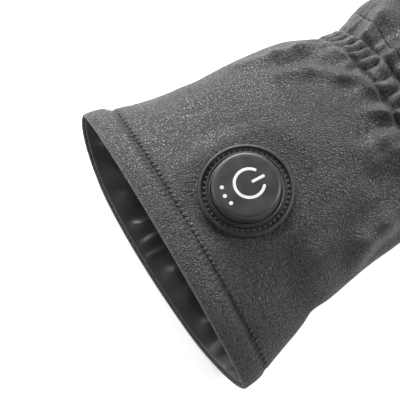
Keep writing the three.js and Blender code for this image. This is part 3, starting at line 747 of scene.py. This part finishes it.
def palm_place(u, v):
    """The shape of the palm, drawn together to a point at both ends."""
    y = np.interp(v, (0, 0.03, 0.94, 1), (4, 6, PALM_LENGTH - 2, PALM_LENGTH + 3))
    drawn = np.interp(v, (0, 0.02, 0.03, 0.94, 0.97, 0.985, 1), (0, 0.95, 1, 1, 0.93, 0.8, 0))
    points = plain(u, y)
    points[:, 0] *= drawn
    points[:, 2] = PALM_CENTRE_HEIGHT + (points[:, 2] - PALM_CENTRE_HEIGHT) * drawn
    return points


shapes = [grid_piece("palm_shape", 160, 110, palm_place)]
for name in DIGITS:
    shapes.append(grid_piece(f"{name}_shape", 64, 70, digit_place(name)))
whole = bmesh.new()
for shape in shapes:
    whole.from_mesh(shape.data)
    mesh = shape.data
    bpy.data.objects.remove(shape)
    bpy.data.meshes.remove(mesh)
hand = finish_mesh("hand_shape", whole)
voxels = hand.modifiers.new("voxels", "REMESH")
voxels.mode = "VOXEL"
voxels.voxel_size = REMESH * MM
bpy.context.view_layer.update()
formed = bpy.data.meshes.new_from_object(hand.evaluated_get(bpy.context.evaluated_depsgraph_get()))
bpy.data.objects.remove(hand)
bm = bmesh.new()
bm.from_mesh(formed)
every_way = {"use_axis_x": True, "use_axis_y": True, "use_axis_z": True}
for _ in range(SMOOTHINGS):
    bmesh.ops.smooth_vert(bm, verts=bm.verts, factor=0.5, **every_way)


def seam_gap(p):
    """Height over the seam between back and palm."""
    return (p[:, 2] - SEAM_HEIGHT + SEAM_DROP * p[:, 1]) / math.hypot(1, SEAM_DROP)


def thumb_gap(p):
    """Distance from the thumb's seam, below 0 on the thumb."""
    lean = math.radians(-THUMB_SEAM_LEAN)
    return (p[:, 0] - THUMB_SEAM_X) * math.cos(lean) + (p[:, 1] - DIGITS["thumb"][1]) * math.sin(lean)


def lane_depth(p, left, right):
    """How far inside the lane between two fingers a point is, from its nearest end or finger axis."""
    a, b = (np.array(DIGITS[name][:2]) for name in (left, right))
    lean_a, lean_b = (math.radians(DIGITS[name][2]) for name in (left, right))
    run_a = np.array((math.sin(lean_a), math.cos(lean_a)))
    run_b = np.array((math.sin(lean_b), math.cos(lean_b)))
    flat = p[:, :2]
    from_a = (flat - a) @ np.array((run_a[1], -run_a[0]))
    from_b = (b - flat) @ np.array((run_b[1], -run_b[0]))
    reach = np.where(from_a < from_b, (flat - a) @ run_a, (flat - b) @ run_b)
    length = np.where(from_a < from_b, DIGITS[left][3], DIGITS[right][3]) - STRIP_TIP
    return np.minimum(np.minimum(from_a, from_b) * 3, np.minimum(reach + STRIP_ROOT, length - reach))


def strip_gap(p):
    """How far outside the strips between the fingers a point is, which are pointed at both ends."""
    depth = np.max([lane_depth(p, a, b) for a, b in LANES], axis=0)
    return np.abs(seam_gap(p)) - STRIP_WIDTH / 2 * np.clip(depth / STRIP_TAPER, 0, 1) ** 0.6


def points_of(bm):
    """The vertices in millimetres."""
    return np.array([v.co for v in bm.verts]) / MM


def cut_where(bm, field, clear=False):
    """Cuts the mesh where field changes sign, by a plane at x = 0 while each vertex has field as its x."""
    kept = bm.verts.layers.float_vector.new("kept")
    for vert, value in zip(bm.verts, field(points_of(bm))):
        vert[kept] = vert.co
        vert.co.x = value * MM
    everything = bm.verts[:] + bm.edges[:] + bm.faces[:]
    bmesh.ops.bisect_plane(
        bm, geom=everything, dist=1e-7, plane_co=(0, 0, 0), plane_no=(1, 0, 0), clear_inner=clear
    )
    for vert in bm.verts:
        vert.co = vert[kept]
    bm.verts.layers.float_vector.remove(kept)


cut_where(bm, lambda p: p[:, 1] - SLEEVE_END - CUT_GAP, clear=True)
cut_where(bm, thumb_gap)
cut_where(bm, seam_gap)
cut_where(bm, strip_gap)
bm.normal_update()


def hand_turn(p):
    """The turn round the wrist at which a point lies, as the sleeve counts it."""
    s = section(p[:, 1])
    c = np.clip((p[:, 0] - s["mid"]) / np.where(p[:, 0] > s["mid"], s["right"], s["left"]), -1, 1)
    rise = np.clip((p[:, 2] - s["fold"]) / (s["top"] - s["fold"]), 0, 1) ** (1 / s["point"])
    drop = np.clip((s["fold"] - p[:, 2]) / s["fold"] / FLOOR_PRESS, 0, 1) ** (1 / s["point"])
    drop = np.where(p[:, 2] < s["fold"], np.maximum(drop, np.sqrt(1 - c * c)), 0)
    return np.arctan2(rise - drop, c) / (2 * np.pi) % 1


def hand_relief(p):
    """Relief of the hand: gathers and folds near the wrist, soft creases, sunk seams and bent knuckles."""
    x, y, z = p.T
    off_floor = smooth(z, 0.4, 6)
    near = 1 - smooth(y, 55, 80)
    turn = hand_turn(p)
    on_back = smooth(np.sin(2 * np.pi * turn), 0, SIDE_SHARE) * smooth(thumb_gap(p), -6, 4)
    relief = near * on_back * (gather_height(turn, y) + fold_height(x, y))
    relief += (unevenness(p, 19.0, 7) * 0.8 + unevenness(p, 8.0, 8) * 0.3) * off_floor
    long_creases = unevenness(p * (1.0, 0.6, 1.0), 15.0, 9)
    cross_creases = unevenness(p * (0.6, 1.2, 1.0), 13.0, 11)
    creases = 0.35 * bell(long_creases, 0.14) + 0.3 * bell(cross_creases, 0.12)
    relief -= creases * off_floor * smooth(y, 22, 45)
    seams = np.abs(strip_gap(p)) + np.where(thumb_gap(p) < 0, 30, 0)
    seams = np.minimum(seams, np.abs(thumb_gap(p)))
    relief += (PUFF * (1 - bell(seams, 7.0)) - SEAM_SINK * bell(seams, 1.5)) * off_floor
    for name, (dx, dy, lean, length, *_) in DIGITS.items():
        lean = math.radians(lean)
        run = ((x - dx) * math.sin(lean) + (y - dy) * math.cos(lean)) / length
        aside = np.abs((x - dx) * math.cos(lean) - (y - dy) * math.sin(lean))
        mine = (aside < 15) * (run > 0.1) * (z > 14)
        for at, deep in KNUCKLES:
            bent = (run - at) * length + 0.8 * np.sin(aside / 2 + 9 * at)
            relief -= deep * bell(bent, KNUCKLE_WIDTH) * mine * smooth(aside, 14, 7)
    return relief


# The panels are told apart before the relief moves anything. Past the cuff's end the hand goes on from the
# sleeve's own skin and eases into its shape.
face_middles = np.array([f.calc_center_median() for f in bm.faces]) / MM
p = points_of(bm)
normals = np.array([v.normal for v in bm.verts])
sleeve_share = 1 - smooth(p[:, 1], SLEEVE_END, SLEEVE_END + BLEND_LENGTH)
continued = skin(hand_turn(p), p[:, 1])
p += normals * hand_relief(p)[:, None]
p += (continued - p) * np.where(thumb_gap(p) > -8, sleeve_share, 0)[:, None]
p[:, 2] = np.maximum(p[:, 2], FLOOR_GAP)
for vert, point in zip(bm.verts, p * MM):
    vert.co = point

SMOOTH_HIDE = {
    "dark": (0.006, 0.006, 0.0065),
    "light": (0.024, 0.024, 0.026),
    "grain": 1300,
    "depth": 0.0001,
    "gloss": (0.45, 0.6),
}
hand_hide = leather_finish("hand_hide", **COWHIDE)
palm_hide = leather_finish("smooth_palm_hide", **SMOOTH_HIDE)


def is_thumb(p):
    return thumb_gap(p) < 0


def is_strip(k):
    def test(p):
        return (strip_gap(p) < 0) & (lane_depth(p, *LANES[k]) > 0) & ~is_thumb(p)

    return test


def is_back(p):
    return (seam_gap(p) > 0) & (strip_gap(p) > 0) & ~is_thumb(p)


def is_palm(p):
    return (seam_gap(p) < 0) & (strip_gap(p) > 0) & ~is_thumb(p)


PANELS = {
    "back_panel": ("hand_back", is_back, hand_hide, "leather"),
    "palm_panel": ("hand_palm", is_palm, palm_hide, "palm_leather"),
    "thumb": ("thumb_leather", is_thumb, hand_hide, "leather"),
    "fourchette_index_middle": ("strip_index_middle", is_strip(0), palm_hide, "palm_leather"),
    "fourchette_middle_ring": ("strip_middle_ring", is_strip(1), palm_hide, "palm_leather"),
    "fourchette_ring_little": ("strip_ring_little", is_strip(2), palm_hide, "palm_leather"),
}
panel_of = np.zeros(len(face_middles), int)
for k, (_, test, _, _) in enumerate(PANELS.values()):
    panel_of[test(face_middles)] = k
for k, (node, (name, _, finish, slot)) in enumerate(PANELS.items()):
    part = bm.copy()
    part.faces.ensure_lookup_table()
    others = [part.faces[i] for i in np.flatnonzero(panel_of != k)]
    bmesh.ops.delete(part, geom=others, context="FACES")
    panel = finish_mesh(name, part)
    wall = panel.modifiers.new("wall", "SOLIDIFY")
    wall.thickness = PADDED_WALL * MM
    wall.offset = -1
    panel.data.materials.append(finish)
    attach(panel, "glove")
    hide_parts(node)


def seam_paths(bm):
    """The edges where two panels meet, as runs of vertices in order."""
    near = {}
    for edge in bm.edges:
        if len({panel_of[face.index] for face in edge.link_faces}) > 1:
            for vert in edge.verts:
                near.setdefault(vert, []).append(edge)
    left = {edge for edges in near.values() for edge in edges}
    for start in sorted(near, key=lambda vert: (len(near[vert]) == 2, vert.index)):
        for edge in near[start]:
            path, at = [start], start
            while edge in left:
                left.discard(edge)
                at = edge.other_vert(at)
                path.append(at)
                onward = [e for e in near[at] if e in left]
                edge = onward[0] if len(near[at]) == 2 and onward else None
            if len(path) > 4:
                yield path


def values_at(marks, run, rows):
    """Points or directions at the marks along a path, between those that its vertices have."""
    return np.stack([np.interp(marks, run, column) for column in rows.T], -1)


bm.normal_update()
bm.faces.index_update()
spots, runs, outs = [], [], []
for path in seam_paths(bm):
    line = np.array([v.co for v in path]) / MM
    run = run_along(line)
    marks = np.arange(SEAM_PITCH / 2, run[-1], SEAM_PITCH)
    spots.append(values_at(marks, run, line))
    runs.append(values_at(marks + 1, run, line) - values_at(marks - 1, run, line))
    outs.append(values_at(marks, run, np.array([v.normal for v in path])))
off_ground = np.concatenate(spots)[:, 2] > SEAM_STITCH_FLOOR
spots, runs, outs = (np.concatenate(rows)[off_ground] for rows in (spots, runs, outs))
sewn("hand_seam_stitches", spots, runs, outs, STITCH_LENGTH, SEAM_THREAD_WIDTH, -SEAM_STITCH_RISE)
bm.free()

# The button's flange: a moulded rubber disc sewn on the cuff. Its rim is a rounded bead, and inside it runs
# a groove for the stitches, a fine ridge, and a smooth band that rises to the well of the cap.
BUTTON_AXIS = Vector((0.03608, -0.00956, 0.9993))
BUTTON_FOOT = Vector((2.9989, -71.8029, 43.2726))
FLANGE_PROFILE = (
    (0, 0), (19.2, 0), (19.9, 0.5), (20, 1.2), (20, 1.9), (19.75, 2.5), (19.2, 2.8), (18.7, 2.75),
    (18.45, 2.3), (18.3, 1.9), (17.6, 1.8), (16.9, 1.85), (16.7, 2.3), (16.55, 2.75), (16.3, 2.9),
    (16.1, 2.75), (16.0, 2.5), (15.8, 2.5), (15.2, 2.75), (14.95, 2.8), (14.82, 2.7), (14.8, 0.8),
    (8.6, 0.8), (8.5, 0.9), (8.5, 5.2), (8.3, 5.4), (0, 5.4),
)  # fmt: skip
PROFILE_ROUNDINGS = 2
GROOVE_FLOOR = 1.85
FLANGE_STITCH_RADIUS = 17.55
FLANGE_STITCHES = 46
FLANGE_COLUMNS = FLANGE_STITCHES * 8
FLANGE_STITCH_LENGTH = 1.7
FLANGE_THREAD_WIDTH = 0.62
FLANGE_STITCH_RISE = 0.1
HOLE_DIP = 0.55
HOLE_WIDTH = 0.55

button_turn = Vector((0, 0, 1)).rotation_difference(BUTTON_AXIS).to_matrix()


def on_button(x, y, height):
    """Points of the button's own frame, put where the button sits."""
    return np.stack([x, y, height], -1) @ np.array(button_turn).T + np.array(BUTTON_FOOT)


def softened(profile):
    """A profile with its corners cut over and over, which rounds them."""
    line = np.array(profile, float)
    for _ in range(PROFILE_ROUNDINGS):
        ahead = line[:-1] * 0.75 + line[1:] * 0.25
        behind = line[:-1] * 0.25 + line[1:] * 0.75
        line = np.concatenate([line[:1], np.stack([ahead, behind], 1).reshape(-1, 2)[1:-1], line[-1:]])
    return line


def needle_holes(u, radius):
    """How far the thread draws the groove's floor down, deepest between one stitch and the next."""
    between = 0.5 + 0.5 * np.cos(2 * np.pi * u * FLANGE_STITCHES)
    return HOLE_DIP * between * bell(radius - FLANGE_STITCH_RADIUS, HOLE_WIDTH)


def turned_piece(name, profile, columns, sunk=None):
    """A profile of radius and height turned about the button's axis. sunk draws its upper side down."""
    line = softened(profile)
    rows = np.linspace(0, 1, len(line))

    def place(u, v):
        radius, height = np.interp(v, rows, line[:, 0]), np.interp(v, rows, line[:, 1])
        if sunk:
            height = height - sunk(u, radius) * (height > 1)
        angle = 2 * np.pi * u
        return on_button(radius * np.cos(angle), radius * np.sin(angle), height)

    return grid_piece(name, columns, len(line) - 1, place)


def rubber_finish(name, dark, light, rough):
    """Moulded rubber: finely sandblasted, a little dusty and lighter in patches where it is rubbed."""
    finish = Finish(name, sheen_weight=0.1, sheen_roughness=0.4)
    blasted = finish.noise(finish.place(), 4200, 2)
    cloud = finish.noise(finish.place(), 140, 4)
    finish.set(base_color=finish.mix(cloud.ramp(0.3, 0.75), (*dark, 1), (*light, 1)))
    finish.set(roughness=cloud.ramp(0.3, 0.7, rough - 0.05, rough + 0.05))
    finish.bump(blasted, 0.00003)
    return finish.material


flange = turned_piece("flange_rubber", FLANGE_PROFILE, FLANGE_COLUMNS, needle_holes)
flange_rubber = rubber_finish("flange_rubber", (0.013, 0.013, 0.0135), (0.02, 0.02, 0.021), 0.5)
flange.data.materials.append(flange_rubber)
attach(flange, "glove")
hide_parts("button_flange")


def flange_ring(turns, ys):
    """The floor of the stitch groove. ys are taken off its radius."""
    angle = 2 * np.pi * turns
    radius = FLANGE_STITCH_RADIUS - ys
    return on_button(radius * np.cos(angle), radius * np.sin(angle), np.full_like(turns, GROOVE_FLOOR))


ring_turns = (np.arange(FLANGE_STITCHES) + 0.5) / FLANGE_STITCHES
ring_ys = np.zeros(FLANGE_STITCHES)
flange_thread = (FLANGE_STITCH_LENGTH, FLANGE_THREAD_WIDTH, -FLANGE_STITCH_RISE)
stitch_row("flange_stitches", flange_ring, ring_turns, ring_ys, *flange_thread)

# The button's cap: a soft rubber dome with a tight rounded shoulder round an almost flat top. It is hollow,
# and a press on it sinks it over its switch.
CAP_PROFILE = (
    (0, 7.4), (11.2, 7.0), (12.4, 6.6), (12.7, 5.9), (12.7, 2.1), (12.9, 1.9), (14.3, 1.9), (14.5, 2.1),
    (14.5, 6.8), (14.45, 7.6), (14.25, 8.15), (13.85, 8.6), (13.3, 8.85), (12.6, 8.97), (11.6, 9.02),
    (6.5, 9.13), (0, 9.2),
)  # fmt: skip
CAP_COLUMNS = 144

cap = turned_piece("cap_rubber", CAP_PROFILE, CAP_COLUMNS)
cap_rubber = rubber_finish("cap_rubber", (0.017, 0.017, 0.0175), (0.026, 0.026, 0.027), 0.42)
cap.data.materials.append(cap_rubber)
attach(cap, "button")
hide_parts("button_cap")

# The print on the cap: a standard power sign, which is a broken ring with a bar, over three dots for the
# level of heat. It is one thin coat of pale ink.
SIGN_RADIUS = 6.2
SIGN_STROKE = 1.25
SIGN_GAP = 32
SIGN_RISE = 1.2
BAR_FROM, BAR_TO = 2.2, 8.4
INK = 0.07
INK_LIFT = 0.3
STROKE_SIDES = 16
DOT_RADIUS = 0.85
DOT_SPREAD = 22
DOT_RING = 10.3
cap_line = softened(CAP_PROFILE)[::-1]
cap_top = cap_line[: np.argmax(cap_line[:, 0])]


def cap_height(x, y):
    return np.interp(np.hypot(x, y), cap_top[:, 0], cap_top[:, 1])


def ink_stroke(name, path, stroke=SIGN_STROKE):
    """A rounded stroke of ink along a path of x and y on the cap's top."""
    run = np.linspace(0, 1, len(path))
    length = run_along(path)[-1]
    heading = np.gradient(path, axis=0)
    heading /= np.linalg.norm(heading, axis=1)[:, None]

    def place(u, v):
        x, y = values_at(v, run, path).T
        hx, hy = values_at(v, run, heading).T
        end = np.clip(np.minimum(v, 1 - v) * length / (stroke / 2), 0, 1)
        wide = stroke / 2 * np.sqrt(1 - (1 - end) ** 2)
        side = np.clip(1.2 * np.cos(2 * np.pi * u), -1, 1) * wide
        x, y = x - hy * side, y + hx * side
        high = np.clip(2 * np.sin(2 * np.pi * u), -1, 1) * INK / 2 * np.sqrt(end)
        return on_button(x, y, cap_height(x, y) + INK * INK_LIFT + high)

    return grid_piece(name, STROKE_SIDES, len(path) - 1, place)


ring_angle = np.radians(np.linspace(90 + SIGN_GAP, 450 - SIGN_GAP, 73))
sign_ring = np.stack([SIGN_RADIUS * np.cos(ring_angle), SIGN_RISE + SIGN_RADIUS * np.sin(ring_angle)], -1)
bar = np.stack([np.zeros(25), np.linspace(BAR_FROM, BAR_TO, 25)], -1)
ink = Finish("pale_ink", roughness=0.5)
speckle = ink.noise(ink.place(), 2600, 2)
ink.set(base_color=ink.mix(speckle.ramp(0.3, 0.7), (0.52, 0.52, 0.53, 1), (0.62, 0.62, 0.63, 1)))
marks = [ink_stroke("sign_ring", sign_ring), ink_stroke("sign_bar", bar)]
for k in (-1, 0, 1):
    angle = math.radians(270 + k * DOT_SPREAD)
    across = DOT_RING * math.cos(angle) + np.linspace(-DOT_RADIUS, DOT_RADIUS, 25)
    dot = np.stack([across, np.full(25, DOT_RING * math.sin(angle))], -1)
    marks.append(ink_stroke(f"level_dot_{k + 2}", dot, 2 * DOT_RADIUS))
for mark in marks:
    mark.data.materials.append(ink.material)
    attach(mark, "button")

# The studio: white paper that glows a little, so that it stays bright, under an even pale light from all
# round, one large softbox above the picture and a small one on each side of it.
PAPER_HALF_WIDTH = 4
PAPER_GLOW = 0.5
ROOM_LIGHT = 0.38

floor_mesh = bpy.data.meshes.new("floor")
bm = bmesh.new()
bmesh.ops.create_grid(bm, x_segments=1, y_segments=1, size=PAPER_HALF_WIDTH)
bm.to_mesh(floor_mesh)
bm.free()
floor = bpy.data.objects.new("floor", floor_mesh)
bpy.context.scene.collection.objects.link(floor)
paper = Finish("white_paper", roughness=0.9)
paper.set(base_color=(0.9, 0.9, 0.9, 1), emission_color=(1, 1, 1, 1), emission_strength=PAPER_GLOW)
floor.data.materials.append(paper.material)

world = bpy.data.worlds.new("studio")
bpy.context.scene.world = world
world.use_nodes = True
world.node_tree.nodes["Background"].inputs["Color"].default_value = (1, 1, 1, 1)
world.node_tree.nodes["Background"].inputs["Strength"].default_value = ROOM_LIGHT

# The camera looks at the button from where the photograph was taken. The scale is that at the button, and
# BUTTON_PIXEL is how far right of and below the middle of the frame the button lies.
AZIMUTH = math.radians(61)
ELEVATION = math.radians(70)
CAMERA_DISTANCE = 0.9
PIXELS_PER_METRE = 2430
FRAME_PIXELS = 400
SENSOR = 36
BUTTON_SPOT = Vector((0.004, -0.0718, 0.045))
BUTTON_PIXEL = (47.5, -8)
level = Vector((-math.sin(AZIMUTH), math.cos(AZIMUTH), 0))
look = level * math.cos(ELEVATION) - Vector((0, 0, math.sin(ELEVATION)))
right = Vector((math.cos(AZIMUTH), math.sin(AZIMUTH), 0))
up = right.cross(look)
aim = BUTTON_SPOT - (right * BUTTON_PIXEL[0] - up * BUTTON_PIXEL[1]) / PIXELS_PER_METRE
camera_data = bpy.data.cameras.new("camera")
camera_data.sensor_width = SENSOR
camera_data.lens = PIXELS_PER_METRE * CAMERA_DISTANCE / FRAME_PIXELS * SENSOR
camera = bpy.data.objects.new("camera", camera_data)
camera_turn = Matrix((right, up, -look)).transposed().to_4x4()
camera.matrix_world = Matrix.Translation(aim - look * CAMERA_DISTANCE) @ camera_turn
bpy.context.scene.collection.objects.link(camera)
bpy.context.scene.camera = camera


def soft_light(name, across, upward, toward, width, height, power):
    """A softbox aimed at the button, placed right of it, up the picture and towards the camera."""
    data = bpy.data.lights.new(name, "AREA")
    data.shape = "RECTANGLE"
    data.size, data.size_y = width, height
    data.energy = power
    light = bpy.data.objects.new(name, data)
    spot = BUTTON_SPOT + right * across + up * upward - look * toward
    facing_button = (spot - BUTTON_SPOT).to_track_quat("Z", "Y").to_matrix().to_4x4()
    light.matrix_world = Matrix.Translation(spot) @ facing_button
    bpy.context.scene.collection.objects.link(light)


soft_light("top_softbox", -0.2, 1.13, 0.08, 1.0, 0.3, 29)
soft_light("left_softbox", -1.0, 0.15, 0.3, 0.3, 0.3, 3.5)
soft_light("side_softbox", 1.0, 0.35, 0.7, 0.35, 0.35, 11)
bpy.context.scene.view_settings.view_transform = "Standard"
